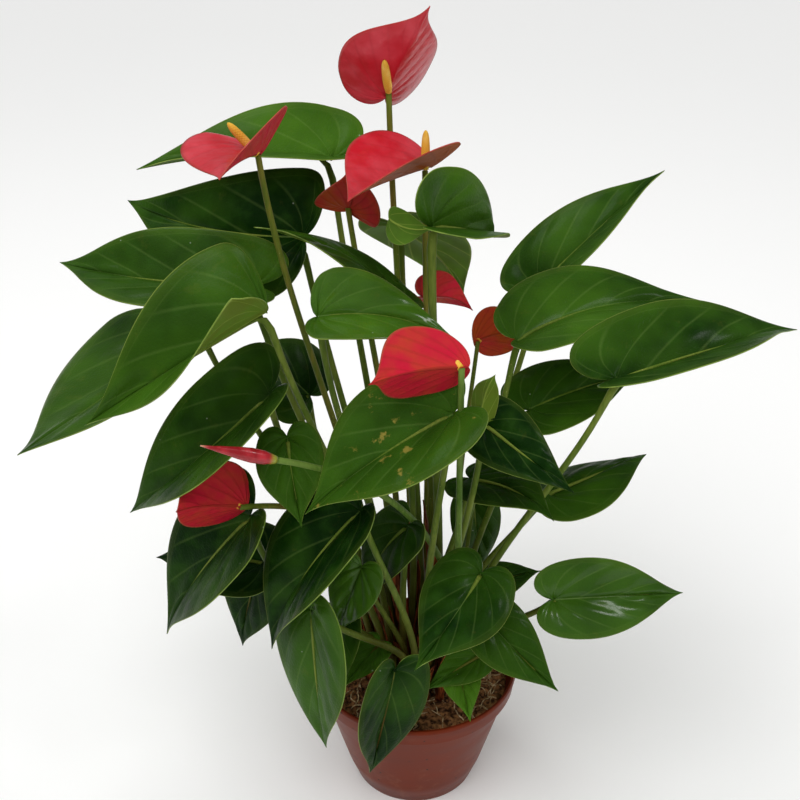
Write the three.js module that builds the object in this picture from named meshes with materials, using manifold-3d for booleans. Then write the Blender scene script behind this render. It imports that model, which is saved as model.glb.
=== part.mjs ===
// Potted anthurium: a bushy flowering plant with glossy heart-shaped leaves and red blooms,
// growing in a low plastic grower pot filled with dark potting soil.
// Millimetres, +Z up. +X is to the viewer's right and +Y away from the viewer.
// The origin is the middle of the pot's underside, on the surface that the pot stands on.

import * as THREE from "three";
import { mergeVertices } from "three/addons/utils/BufferGeometryUtils.js";
import Module from "manifold-3d";

const wasm = await Module();
wasm.setup();

// ---- Pot: a 120 mm grower pot, low and tapered, with a plain collar ----

const POT_RIM_RADIUS = 60;
const POT_HEIGHT = 78;
const POT_WALL = 1.6;
const COLLAR_HEIGHT = 11; // the straight band below the lip
const COLLAR_RADIUS = 58.6; // at the collar's lower edge
const COLLAR_STEP = 2.5; // how far the wall steps in below the collar
const FOOT_HEIGHT = 16; // where the wall turns in towards the base
const FOOT_RADIUS = 42;
const BASE_RADIUS = 36.5;
const BASE_THICKNESS = 2;
const DRAIN_HOLES = 6;
const DRAIN_RADIUS = 4;
const DRAIN_RING = 27; // the holes' distance from the middle, which stays solid
const POT_SIDES = 40;
const LIP_HEIGHT = 3; // the lip's band at the very top
const EDGE_ROUND = 0.6; // how far the pot's edges are rounded

// ---- Soil ----

const SOIL_EDGE = 66; // height of the soil at the wall
const SOIL_CROWN = 3; // how much higher it is in the middle
const SOIL_SIDES = 30;
const SOIL_RINGS = [40, 27, 13];
const SOIL_WAVES = [0.31, 0.27]; // of the uneven top, in radians a millimetre along X and Y

// ---- Stems, blades and blooms ----

const STEM_SIDES = 5;
const STEM_SPANS = 5; // straight lengths that stand for a stem's curve above the soil
const STEM_BURIED = 54; // height of the lowest end of every stem, inside the soil
const STEM_FREE = 73; // height where a stem is clear of the soil and starts to lean
const PETIOLE_RADIUS = 1.6;
const STALK_RADIUS = 1.5;
const FOOT_FLARE = 1.35; // how much thicker a stem is in the soil than at its top
const FOOT_SPACING = 4.6; // sets how close the stems stand in the soil
const FOOT_REACH = 0.22; // where a stem wants to stand in the soil, as a share of its joint's place
const BLADE_THICKNESS = 0.9;
const SPATHE_THICKNESS = 1.0;
const BLADE_STEPS = 8; // along a margin, from the notch at the stem to the tip
const BLADE_ROWS = 2; // from the midrib to a margin
const LOBE_SHARE = 3 / 8; // the share of the steps that goes round the lobe
const HALF_WIDTH = 0.33; // of a blade of width 1, in shares of its length
const NOTCH_SPREAD = 0.035; // how far the lobes part behind the joint
const SHOULDER = 0.36; // how far a blade stays wide past its widest place
const SHOULDER_END = 0.8; // and the furthest along the midrib that it does
const TIP_DRAW = [0.76, 0.05]; // where the margin turns in to the drawn-out tip
const RIB_LEAN = 1.08; // how far forward on the midrib the side ribs begin
const RIB_EASE = 0.08; // and how many of them begin at the joint
const CAMBER = 0.35; // how much the halves curve down towards their margins
const LOBE_DROOP = 1.2; // how much faster than the midrib the lobes droop behind the joint
const STEM_RISE = 0.5; // how steeply a stem arrives, against its lean
const STEM_PULL = [0.35, 0.3]; // how long a stem keeps its direction at its foot and at its end
const MIDRIB_RUN = 0.1; // how far a petiole runs on under the midrib
const MIDRIB_SINK = 0.004; // and how deep it lies there
const MIDRIB_TAPER = 0.5; // and how thick it is there, against the petiole
const GAP = 0.3; // clearance between pieces that touch on the plant
const SEAT = 0.06; // where a bloom's stalk and spadix meet the spathe, along its midrib
const SPADIX_RADII = [1.5, 2.1, 2.2, 2.1, 1.8, 1]; // from its foot to its blunt tip
const SPADIX_SIDES = 6;
const BUD_RADII = [1.9, 3.3, 3.5, 2.9, 2, 1.1, 0.3]; // the rolled spathe, from its foot to its point
const BUD_SIDES = 8;

// ---- Materials ----

const finish = (color, roughness) =>
  new THREE.MeshStandardMaterial({ color, roughness, metalness: 0 });
const LEAF_GREEN = finish(0x2f5a24, 0.35);
const STEM_GREEN = finish(0x6f7f3a, 0.5);
const SPATHE_RED = finish(0xc8283c, 0.3);
const SPADIX_YELLOW = finish(0xe3b93a, 0.6);
const POT_BROWN = finish(0x8f4736, 0.45);
const SOIL_BROWN = finish(0x2d1c14, 0.95);

// ---- Solids ----

const vector = (p) => new THREE.Vector3(...p);

// A geometry's triangles on shared vertices, without the ones that have shrunk to a line.
function welded(geometry) {
  const bare = geometry.index ? geometry.clone() : geometry;
  for (const name of Object.keys(bare.attributes)) {
    if (name !== "position") bare.deleteAttribute(name);
  }
  const merged = mergeVertices(bare, 1e-4);
  const corners = merged.index.array;
  const kept = [];
  for (let i = 0; i < corners.length; i += 3) {
    const [a, b, c] = corners.slice(i, i + 3);
    if (a !== b && b !== c && c !== a) kept.push(a, b, c);
  }
  merged.setIndex(kept);
  return merged;
}

function solidOf(geometry) {
  const { index, attributes } = welded(geometry);
  const triVerts = new Uint32Array(index.array);
  const vertProperties = new Float32Array(attributes.position.array);
  return new wasm.Manifold(new wasm.Mesh({ numProp: 3, vertProperties, triVerts }));
}

function geometryOf(solid) {
  const { vertProperties, triVerts } = solid.getMesh();
  return new THREE.BufferGeometry()
    .setAttribute("position", new THREE.BufferAttribute(vertProperties, 3))
    .setIndex(new THREE.BufferAttribute(triVerts, 1));
}

// The solid without the scraps that a cut or a union leaves behind.
function largestPiece(solid) {
  const pieces = solid.decompose();
  return pieces.reduce((best, piece) => (piece.volume() > best.volume() ? piece : best));
}

// Gives an open sheet its thickness, half to each side, with a wall along its edge.
function sheetSolid(sheet, thickness) {
  const flat = welded(sheet);
  flat.computeVertexNormals();
  const { position, normal } = flat.attributes;
  const corners = flat.index.array;
  const count = position.count;
  const points = new Float32Array(count * 6);
  for (let i = 0; i < count * 3; i++) {
    const shift = (normal.array[i] * thickness) / 2;
    points[i] = position.array[i] + shift;
    points[count * 3 + i] = position.array[i] - shift;
  }
  const faces = [];
  const edges = new Map();
  for (let i = 0; i < corners.length; i += 3) {
    const [a, b, c] = corners.slice(i, i + 3);
    faces.push(a, b, c, a + count, c + count, b + count);
    for (const [from, to] of [[a, b], [b, c], [c, a]]) edges.set(from + "," + to, [from, to]);
  }
  for (const [from, to] of edges.values()) {
    if (edges.has(to + "," + from)) continue;
    faces.push(from, from + count, to, to, from + count, to + count);
  }
  return solidOf(
    new THREE.BufferGeometry()
      .setAttribute("position", new THREE.BufferAttribute(points, 3))
      .setIndex(faces),
  );
}

// A closed round bar through a list of points, with a radius at each point: a cylinder bent
// along them, whose sections turn as little as they can.
function barSolid(points, radii, sides) {
  const spans = points.length - 1;
  const sections = [];
  let across = new THREE.Vector3(1, 0, 0);
  points.forEach((point, i) => {
    const before = points[Math.max(i - 1, 0)];
    const after = points[Math.min(i + 1, spans)];
    const along = after.clone().sub(before).normalize();
    across = across.clone().addScaledVector(along, -across.dot(along)).normalize();
    sections.push({ point, across, side: along.clone().cross(across), radius: radii[i] });
  });
  const bar = new THREE.CylinderGeometry(1, 1, spans, sides, spans);
  const { position } = bar.attributes;
  const place = new THREE.Vector3();
  for (let i = 0; i < position.count; i++) {
    const { point, across: first, side, radius } =
      sections[Math.round(position.getY(i) + spans / 2)];
    place.copy(point);
    place.addScaledVector(first, position.getX(i) * radius);
    place.addScaledVector(side, -position.getZ(i) * radius);
    position.setXYZ(i, place.x, place.y, place.z);
  }
  return solidOf(bar);
}

// A profile of [radius, height] points, from the axis back to the axis, turned about Z.
function turned(profile, sides) {
  const points = profile.map(([radius, height]) => new THREE.Vector2(radius, height));
  return new THREE.LatheGeometry(points, sides).rotateX(Math.PI / 2);
}

// ---- Blade: the heart-shaped sheet of a leaf or of a bloom's spathe ----

// Half an outline in shares of the midrib's length: round the lobe, then on to the tip.
function outline({ lobe, belly, width }) {
  const wide = HALF_WIDTH * width;
  const round = [[0, 0], [-lobe, NOTCH_SPREAD], [-lobe, wide], [belly, wide]];
  const shoulder = Math.min(belly + SHOULDER, SHOULDER_END);
  const flank = [[belly, wide], [shoulder, wide], TIP_DRAW, [1, 0]];
  return [round, flank].map(
    (points) => new THREE.CubicBezierCurve(...points.map(([x, y]) => new THREE.Vector2(x, y))),
  );
}

// The blade's own directions: along the midrib, to its left, and out of its upper face.
function bladeFrame({ joint, tip, face }) {
  const along = vector(tip).sub(vector(joint));
  const length = along.length();
  along.divideScalar(length);
  const upper = vector(face);
  upper.addScaledVector(along, -upper.dot(along)).normalize();
  return { length, along, upper, left: upper.clone().cross(along) };
}

// A point of the blade: step 0 to 1 runs from the notch to the tip, and across -1 to 1 from
// the right margin over the midrib to the left one.
function bladePoint(blade, curves, frame, step, across) {
  const { fold, arch, bend } = blade;
  const margin =
    step < LOBE_SHARE
      ? curves[0].getPoint(step / LOBE_SHARE)
      : curves[1].getPoint((step - LOBE_SHARE) / (1 - LOBE_SHARE));
  const reach = Math.max(margin.x - margin.y, 0);
  const root = (RIB_LEAN * reach * reach) / (reach + RIB_EASE); // where this rib begins
  const out = Math.abs(across);
  const x = root + (margin.x - root) * out;
  const y = margin.y * out;
  const [base, end] = across > 0 ? fold.left : fold.right;
  const angle = THREE.MathUtils.degToRad(base + (end - base) * Math.max(x, 0));
  const rise = x > 0 ? 4 * x * (1 - x) : LOBE_DROOP * x;
  const lift = y * Math.sin(angle) - CAMBER * y * y + arch * rise;
  const side = Math.sign(across) * y * Math.cos(angle) + bend * rise;
  return vector(blade.joint)
    .addScaledVector(frame.along, frame.length * x)
    .addScaledVector(frame.left, frame.length * side)
    .addScaledVector(frame.upper, frame.length * lift);
}

function bladeSheet(blade) {
  const sheet = new THREE.PlaneGeometry(1, 2, BLADE_STEPS, 2 * BLADE_ROWS);
  const { position } = sheet.attributes;
  const curves = outline(blade);
  const frame = bladeFrame(blade);
  for (let i = 0; i < position.count; i++) {
    const place = bladePoint(blade, curves, frame, position.getX(i) + 0.5, position.getY(i));
    position.setXYZ(i, place.x, place.y, place.z);
  }
  return sheet;
}

// ---- Stems ----

// Places in the soil, evenly spread from the middle outwards by the golden angle. Each stem
// takes the free place nearest to the one it wants.
const GOLDEN_ANGLE = Math.PI * (3 - Math.sqrt(5));
function takeFoot(free, joint, from) {
  const wanted = from ?? [joint[0] * FOOT_REACH, joint[1] * FOOT_REACH];
  const gap = ([x, y]) => Math.hypot(x - wanted[0], y - wanted[1]);
  const best = free.reduce((a, b) => (gap(b) < gap(a) ? b : a));
  free.splice(free.indexOf(best), 1);
  return best;
}

// From the soil straight up, then leaning out in one curve to the end. It arrives rising and
// leaning, unless the direction is given. The bow moves the middle of the stem aside.
function stemPoints([x, y], end, { bow, arrive }) {
  const low = new THREE.Vector3(x, y, STEM_BURIED);
  const free = new THREE.Vector3(x, y, STEM_FREE);
  const reach = free.distanceTo(end);
  const arrival = end.clone().sub(free);
  arrival.z += STEM_RISE * reach;
  if (arrive) arrival.set(...arrive);
  arrival.normalize();
  const curve = new THREE.CubicBezierCurve3(
    free,
    free.clone().add(new THREE.Vector3(0, 0, STEM_PULL[0] * reach)),
    end.clone().addScaledVector(arrival, -STEM_PULL[1] * reach),
    end,
  );
  const points = curve.getPoints(STEM_SPANS);
  points.forEach((point, i) => {
    point.addScaledVector(vector(bow), Math.sin((Math.PI * i) / STEM_SPANS));
  });
  return [low, ...points];
}

const stemRadii = (count, radius) =>
  Array.from({ length: count }, (_, i) =>
    THREE.MathUtils.lerp(radius * FOOT_FLARE, radius, Math.min(i / STEM_SPANS, 1)),
  );

// A leaf: its blade, and its petiole run into the base of the midrib.
function leafSolid(leaf, foot) {
  const points = stemPoints(foot, vector(leaf.joint), leaf);
  const radii = stemRadii(points.length, leaf.petiole);
  const { length, along, upper } = bladeFrame(leaf);
  const lift = 4 * MIDRIB_RUN * (1 - MIDRIB_RUN) * leaf.arch - MIDRIB_SINK;
  const run = vector(leaf.joint).addScaledVector(along, MIDRIB_RUN * length);
  points.push(run.addScaledVector(upper, lift * length));
  radii.push(MIDRIB_TAPER * leaf.petiole);
  return barSolid(points, radii, STEM_SIDES).add(
    sheetSolid(bladeSheet(leaf), BLADE_THICKNESS),
  );
}

// ---- Where the leaves are: joint of stem and blade, tip of the blade, and the way that the
// upper face looks. fold lifts the left and right half in degrees, at the base and the tip. ----

// [base, tip] lifts of the left and the right half of a blade.
const folds = (left, right = left) => ({
  left: [left, left].flat().slice(0, 2),
  right: [right, right].flat().slice(0, 2),
});
const LEAF_DEFAULTS = {
  width: 1,
  fold: folds(12),
  arch: 0.06,
  lobe: 0.24,
  belly: 0.16,
  bend: 0,
  bow: [0, 0, 0],
  arrive: null,
  petiole: PETIOLE_RADIUS,
};

const LEAVES = {
  leaf_top_left: [
    { joint: [-46, 71, 363], tip: [-151, 76, 355], face: [-0.2, -0.4, 0.9], fold: folds(45, 20),
      belly: 0.12, bow: [1, 0, 0] },
  ],
  leaf_upper_left: [
    { joint: [-61, 46, 328], tip: [-164, 103, 328], face: [-0.55, -0.9, 0.9],
      fold: folds([14, 15], [12, 24]), lobe: 0.1, belly: 0.08, bend: 0.07, bow: [2, -5, 0] },
  ],
  leaf_left_pale: [
    { joint: [-85, 10, 316], tip: [-192, 50, 312], face: [-0.2, -0.45, 0.9], width: 0.8,
      fold: folds(30), arch: 0.08, belly: 0.27, bend: 0.09 },
  ],
  leaf_left_folded: [
    { joint: [-71, -47, 328], tip: [-158, -62, 276], face: [-0.23, -1, 0.78], width: 1.37,
      fold: folds([92, 28], [-9, 55]), arch: 0.02, lobe: 0.07, belly: 0.06, bow: [2, 3, 0] },
  ],
  leaf_far_left: [
    { joint: [-119, 39, 281], tip: [-188, -74, 267], face: [-0.58, -0.4, 0.74], width: 1.32,
      fold: folds([33, -15], [24, 8]), arch: -0.06, lobe: 0.05, belly: 0.08, bend: -0.12 },
  ],
  leaf_left_long: [
    { joint: [-74, -34, 277], tip: [-150, -31, 205], face: [-0.4, -0.4, 0.85], fold: folds(30),
      belly: 0.27, bend: 0.09, bow: [-5, 9, 0] },
  ],
  leaf_left_behind: [
    { joint: [-61, 48, 232], tip: [-109, 102, 232], face: [-0.35, -0.5, 0.8], belly: 0.18,
      bend: -0.05, bow: [-5, 0, 0] },
  ],
  leaf_left_inner: [
    { joint: [-65, -40, 256], tip: [-57, -70, 223], face: [-0.1, -0.75, 0.65], width: 1.15,
      fold: folds(8), belly: 0.26, bow: [-3, 0, 0] },
  ],
  leaf_left_low: [
    { joint: [-85, -49, 215], tip: [-137, -36, 128], face: [-0.45, -0.5, 0.75], fold: folds(25),
      bow: [-8, -11, 0] },
  ],
  side_shoot_left: [
    { joint: [-89, 15, 140], tip: [-105, 20, 72], face: [-0.5, -0.8, 0.3] },
    { joint: [-87, 0, 150], tip: [-154, 30, 131], face: [-0.3, -0.5, 1], petiole: 1.4,
      bow: [0, -1, 0] },
  ],
  leaf_front_left: [
    { joint: [-29, -60, 226], tip: [-75, -73, 149], face: [-0.4, -0.4, 0.8], fold: folds(30),
      arch: 0.1, lobe: 0.18, belly: 0.27, from: [-4, -27], bow: [4, -3, 0] },
  ],
  leaf_front: [
    { joint: [16, -62, 283], tip: [-54, -82, 239], face: [-0.25, -0.5, 0.8], width: 1.2,
      fold: folds(28, 25), belly: 0.27, bow: [-3, -2, 0] },
  ],
  leaf_front_right: [
    { joint: [32, -46, 268], tip: [74, -73, 245], face: [0.15, -0.65, 0.75], belly: 0.14,
      bend: -0.03, bow: [2, -5, 0] },
  ],
  leaf_right_inner: [
    { joint: [29, -14, 215], tip: [68, -56, 217], face: [0.3, -0.55, 0.8], fold: folds(8),
      belly: 0.2, bend: 0.06 },
  ],
  leaf_right_back: [
    { joint: [72, 2, 195], tip: [133, 40, 197], face: [-0.1, 0, 1], fold: folds(-8),
      bend: -0.07, bow: [-8, 2, 0] },
  ],
  leaf_top_right: [
    { joint: [73, 95, 279], tip: [146, 131, 336], face: [-0.25, -0.15, 0.95],
      fold: folds(25, 32), bend: -0.05, from: [16, 22], bow: [0, 1, 0] },
  ],
  leaf_upper_right: [
    { joint: [52, 12, 285], tip: [160, 56, 286], face: [-0.15, -0.1, 1], width: 0.9,
      fold: folds(27, 16), arch: 0.03, lobe: 0.12, belly: 0.3, bend: 0.09, bow: [0, -7, 0] },
  ],
  leaf_far_right: [
    { joint: [99, -23, 280], tip: [202, 25, 284], face: [-0.15, -0.1, 1], fold: folds(32),
      belly: 0.27, bend: -0.05, bow: [0, 2, 0] },
  ],
  leaf_right: [
    { joint: [61, 15, 241], tip: [126, 46, 245], face: [0, -0.4, 0.9], fold: folds(15),
      arch: 0.08, bow: [0, 9, 0] },
  ],
  leaf_low_right: [
    { joint: [74, -40, 155], tip: [148, -20, 144], face: [0.15, -0.75, 0.65], width: 0.92,
      fold: folds(27, 21), belly: 0.19, bow: [0, 5, 0] },
  ],
  leaf_front_low_right: [
    { joint: [36, -50, 151], tip: [74, -75, 122], face: [0.15, -0.7, 0.7], belly: 0.18,
      bend: -0.03, bow: [0, 4, 0] },
  ],
  leaf_front_low: [
    { joint: [32, -61, 188], tip: [-2, -103, 161], face: [-0.2, -0.7, 0.65], width: 1.15,
      fold: folds(6), belly: 0.24, bend: 0.03 },
  ],
  leaf_right_small: [
    { joint: [36, 2, 131], tip: [73, 13, 134], face: [0.15, -0.45, 0.85], bow: [-5, 2, 0] },
  ],
  leaf_front_centre: [
    { joint: [-5, -34, 199], tip: [-27, -35, 148], face: [-0.45, -0.4, 0.8], width: 1.05,
      fold: folds(7, 12), belly: 0.2, bend: -0.08, bow: [-2, 0, 0] },
  ],
  leaf_hanging_left: [
    { joint: [-54, -74, 175], tip: [-48, -84, 91], face: [-0.65, -0.55, 0.5], belly: 0.22,
      bend: 0.05, bow: [13, -2, 0] },
  ],
  side_shoot_front: [
    { joint: [-42, -45, 149], tip: [-40, -62, 111], face: [-0.3, -0.9, 0.5], petiole: 1.3,
      from: [-12, -24], bow: [4, 0, 0] },
    { joint: [-21, -38, 122], tip: [-40, -58, 109], face: [-0.2, -0.7, 0.8], petiole: 1.3,
      bow: [-5, 0, 0] },
    { joint: [-29, -53, 186], tip: [-41, -52, 143], face: [-0.2, -0.8, 0.6], petiole: 1.3,
      bow: [0, -1, 0] },
  ],
  leaf_hanging_front: [
    { joint: [-12, -63, 125], tip: [-26, -69, 57], face: [0.5, -0.65, 0.55],
      fold: folds(16, 23), belly: 0.23, bend: -0.03, bow: [-2, 2, 0] },
  ],
  side_shoot_right: [
    { joint: [23, -42, 109], tip: [29, -67, 93], face: [0.15, -0.85, 0.25], width: 1.15,
      petiole: 1.3 },
    { joint: [35, -40, 116], tip: [5, -55, 105], face: [0, -0.6, 0.8], petiole: 1.3 },
    { joint: [33, 28, 173], tip: [38, 39, 112], face: [0.2, -0.9, 0.3], width: 0.75,
      petiole: 1.3, bow: [0, -13, 0] },
  ],
  leaf_middle: [
    { joint: [-48, -33, 319], tip: [19, -34, 306], face: [0.54, -0.8, 1], width: 1.1,
      fold: folds([30, -12], [40, 12]), arch: 0.08, lobe: 0.11, belly: 0.06, bend: 0.06,
      bow: [-4, 0, 0] },
  ],
  leaf_middle_back: [
    { joint: [-11, 1, 312], tip: [-83, 22, 343], face: [0.1, 0.25, 0.95], arch: 0.09,
      bow: [4, 0, 0] },
  ],
  leaf_back_dark: [
    { joint: [-9, 50, 332], tip: [28, 90, 272], face: [-0.3, -0.1, 0.95], fold: folds(6, 11),
      bend: -0.03, bow: [0, 2, 0] },
  ],
  leaf_top_small: [
    { joint: [6, -10, 355.5], tip: [41, 48, 327], face: [0.1, -1, 0.41], width: 1.25,
      fold: folds([15, 18], [97, 78]), arch: 0.08, lobe: 0.38, belly: 0.09, bend: 0.02,
      petiole: 2, bow: [0, 2, 0] },
  ],
};

// ---- Where the blooms are: the spathe as a blade, and the spadix as a direction and length
// from the spathe's base. ----

const BLOOM_DEFAULTS = {
  width: 1.3,
  fold: folds(10),
  arch: 0.04,
  lobe: 0.24,
  belly: 0.18,
  bend: 0,
  bow: [0, 0, 0],
  arrive: null,
  stalk: STALK_RADIUS,
};

const BLOOMS = {
  bloom_top: {
    joint: [-16, 49, 402], tip: [5, 26, 451], face: [0.45, -0.8, 0.4], width: 1.4,
    fold: folds(-20), belly: 0.28, bend: 0.05, spadix: [-2, -12, 19],
  },
  bloom_left: {
    joint: [-75, 0, 388], tip: [-86, -62, 397], face: [-0.04, -0.37, 1], width: 1.59,
    fold: folds([65, 53], [26, -16]), arch: 0.03, lobe: 0.16, belly: 0.17, bend: -0.02,
    spadix: [-13, -2, 16], bow: [-2, 0, 0],
  },
  bloom_top_folded: {
    joint: [7, 33, 371], tip: [-33, -31, 376], face: [0.48, -0.94, 1], width: 1.22,
    fold: folds([94, 97], [-3, -13]), arch: -0.08, lobe: 0.08, belly: 0.15, bend: -0.05,
    spadix: [0, 2, 20], bow: [-1, -9, 0],
  },
  bloom_back: {
    joint: [-36, 44, 344], tip: [-35, 24, 373], face: [0.36, 1, 0.08], width: 1.54,
    fold: folds([-4, 42], [-3, -9]), arch: 0.01, lobe: 0.15, belly: 0.06, bend: 0.07,
    spadix: [-2, 14, 6], bow: [5, 0, 0],
  },
  bloom_front: {
    joint: [22, -64, 308], tip: [-23, -90, 313], face: [0, 0.9, -0.35], width: 1.4,
    fold: folds(36, 56), lobe: 0.12, belly: 0.42, bend: 0.04, spadix: [-9, 13, 3],
    bow: [0, -2, 0],
  },
  bloom_middle: {
    joint: [3, 25, 303], tip: [31, 49, 284], face: [0.2, 0.95, -0.1], width: 1.1,
    fold: folds(37, 45), bend: -0.08, spadix: [5, 14, 2], bow: [2, 0, 0],
  },
  bloom_right: {
    joint: [32, 46, 266], tip: [61, 33, 275], face: [0.02, 0.99, -0.07], width: 1.55,
    fold: folds([30, 28], [24, 32]), arch: 0.13, lobe: 0.06, belly: 0.31, bend: -0.07,
    stalk: 1.2, spadix: [4, 12, 3], bow: [-2, 10, 0],
  },
  bloom_low_left: {
    joint: [-86, -52, 223], tip: [-114, -86, 243], face: [0.03, 1, -0.68], width: 1.48,
    fold: folds([6, 47], [71, 56]), arch: 0.13, lobe: 0.1, belly: 0.19, bend: 0.04,
    spadix: [-8, 10, 4],
    arrive: [-0.9, -0.3, 0.2], from: [-22, -9], bow: [-6, 8, 0],
  },
};

// A bloom's pieces: the red sheet, the stalk under it and the spadix that stands on it. The
// sheet's own form ends the stalk and the spadix with a small gap.
function bloomSolids(bloom, foot) {
  const sheet = bladeSheet(bloom);
  const sheetRoom = sheetSolid(sheet, SPATHE_THICKNESS + 2 * GAP);
  const { length, along, upper } = bladeFrame(bloom);
  const seat = vector(bloom.joint)
    .addScaledVector(along, SEAT * length)
    .addScaledVector(upper, 4 * bloom.arch * SEAT * length);
  const stalkPoints = stemPoints(foot, seat, bloom);
  const stalk = barSolid(stalkPoints, stemRadii(stalkPoints.length, bloom.stalk), STEM_SIDES);
  const reach = vector(bloom.spadix);
  const last = SPADIX_RADII.length - 1;
  const spadixPoints = SPADIX_RADII.map((_, i) => seat.clone().addScaledVector(reach, i / last));
  const roundSpadix = (room) =>
    barSolid(spadixPoints, SPADIX_RADII.map((radius) => radius + room), SPADIX_SIDES);
  return {
    stalk: largestPiece(stalk.subtract(sheetRoom).subtract(roundSpadix(GAP))),
    spathe: sheetSolid(sheet, SPATHE_THICKNESS),
    spadix: largestPiece(roundSpadix(0).subtract(sheetRoom)),
  };
}

const BUD = {
  foot: [-66, -83, 270],
  point: [-98, -95, 285],
  from: [-6, -9],
  bow: [0, 6, 0],
  stalk: STALK_RADIUS,
};

// The rolled bud, and its stalk, which comes up to it in line.
function budSolids(foot) {
  const base = vector(BUD.foot);
  const reach = vector(BUD.point).sub(base);
  const last = BUD_RADII.length - 1;
  const budPoints = BUD_RADII.map((_, i) => base.clone().addScaledVector(reach, i / last));
  const below = base.clone().addScaledVector(reach.clone().normalize(), -2 * GAP);
  const stalkPoints = stemPoints(foot, below, { bow: BUD.bow, arrive: reach.toArray() });
  return {
    stalk: barSolid(stalkPoints, stemRadii(stalkPoints.length, BUD.stalk), STEM_SIDES),
    spathe: barSolid(budPoints, BUD_RADII, BUD_SIDES),
  };
}

// ---- Pot and soil ----

function potSolid() {
  const collarFoot = POT_HEIGHT - COLLAR_HEIGHT;
  const profile = [
    [0, 0],
    [BASE_RADIUS, 0],
    [FOOT_RADIUS, FOOT_HEIGHT],
    [COLLAR_RADIUS - COLLAR_STEP, collarFoot],
    [COLLAR_RADIUS, collarFoot + EDGE_ROUND],
    [POT_RIM_RADIUS - EDGE_ROUND, POT_HEIGHT - LIP_HEIGHT],
    [POT_RIM_RADIUS, POT_HEIGHT - LIP_HEIGHT + 1],
    [POT_RIM_RADIUS - EDGE_ROUND, POT_HEIGHT],
    [POT_RIM_RADIUS - POT_WALL - EDGE_ROUND, POT_HEIGHT],
    [COLLAR_RADIUS - POT_WALL, collarFoot + POT_WALL],
    [COLLAR_RADIUS - COLLAR_STEP - POT_WALL, collarFoot],
    [FOOT_RADIUS - POT_WALL, FOOT_HEIGHT],
    [BASE_RADIUS - POT_WALL, BASE_THICKNESS],
    [0, BASE_THICKNESS],
  ];
  let pot = solidOf(turned(profile, POT_SIDES));
  for (let i = 0; i < DRAIN_HOLES; i++) {
    const angle = (2 * Math.PI * i) / DRAIN_HOLES;
    const hole = new THREE.CylinderGeometry(DRAIN_RADIUS, DRAIN_RADIUS, 3 * BASE_THICKNESS, 8)
      .rotateX(Math.PI / 2)
      .translate(DRAIN_RING * Math.cos(angle), DRAIN_RING * Math.sin(angle), 0);
    pot = pot.subtract(solidOf(hole));
  }
  return pot;
}

// The soil fills the pot to just below the collar, with a gap to its wall, a slightly uneven
// top, and a plain hole for each stem.
function soilSolid(stems) {
  const inner = (radius) => radius - POT_WALL - GAP;
  const wallEdge = inner(COLLAR_RADIUS - COLLAR_STEP);
  const profile = [
    [0, BASE_THICKNESS + GAP],
    [inner(BASE_RADIUS), BASE_THICKNESS + GAP],
    [inner(FOOT_RADIUS), FOOT_HEIGHT],
    [wallEdge - GAP, SOIL_EDGE],
    ...SOIL_RINGS.map((radius) => [radius, SOIL_EDGE + SOIL_CROWN * (1 - radius / wallEdge)]),
    [0, SOIL_EDGE + SOIL_CROWN],
  ];
  const block = turned(profile, SOIL_SIDES);
  const { position } = block.attributes;
  for (let i = 0; i < position.count; i++) {
    const [x, y, z] = [position.getX(i), position.getY(i), position.getZ(i)];
    const wave = Math.sin(SOIL_WAVES[0] * x + 1) * Math.cos(SOIL_WAVES[1] * y);
    if (z > SOIL_EDGE + GAP) position.setZ(i, z + wave);
  }
  let soil = solidOf(block);
  for (const { points, radius } of stems) {
    const low = points[0].clone().setZ(points[0].z - GAP);
    const wide = radius * FOOT_FLARE + GAP;
    soil = soil.subtract(barSolid([low, points[1]], [wide, wide], STEM_SIDES));
  }
  return soil;
}

// ---- Assembly ----

const plant = new THREE.Group();

function addMesh(name, solid, material) {
  const mesh = new THREE.Mesh(geometryOf(solid), material);
  mesh.name = name;
  plant.add(mesh);
}

const freeFeet = [];
const stemCount = Object.keys(LEAVES).length + Object.keys(BLOOMS).length + 1;
for (let k = 0; k < stemCount; k++) {
  const radius = FOOT_SPACING * Math.sqrt(k + 0.5);
  freeFeet.push([radius * Math.cos(k * GOLDEN_ANGLE), radius * Math.sin(k * GOLDEN_ANGLE)]);
}
const stems = [];
function rooted(joint, radius, from) {
  const [x, y] = takeFoot(freeFeet, joint, from);
  const points = [STEM_BURIED, STEM_FREE].map((z) => new THREE.Vector3(x, y, z));
  stems.push({ points, radius });
  return [x, y];
}

for (const [name, blades] of Object.entries(LEAVES)) {
  const leaves = blades.map((blade) => ({ ...LEAF_DEFAULTS, ...blade }));
  const foot = rooted(leaves[0].joint, leaves[0].petiole, leaves[0].from);
  const solid = leaves.map((leaf) => leafSolid(leaf, foot)).reduce((a, b) => a.add(b));
  addMesh(name, largestPiece(solid), LEAF_GREEN);
}
for (const [name, given] of Object.entries(BLOOMS)) {
  const bloom = { ...BLOOM_DEFAULTS, ...given };
  const { stalk, spathe, spadix } = bloomSolids(bloom, rooted(bloom.joint, bloom.stalk, bloom.from));
  addMesh(name + "_stalk", stalk, STEM_GREEN);
  addMesh(name + "_spathe", spathe, SPATHE_RED);
  addMesh(name + "_spadix", spadix, SPADIX_YELLOW);
}
const bud = budSolids(rooted(BUD.foot, BUD.stalk, BUD.from));
addMesh("bud_stalk", bud.stalk, STEM_GREEN);
addMesh("bud_spathe", bud.spathe, SPATHE_RED);
addMesh("potting_soil", soilSolid(stems), SOIL_BROWN);
addMesh("pot", potSolid(), POT_BROWN);

export default plant;
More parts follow.
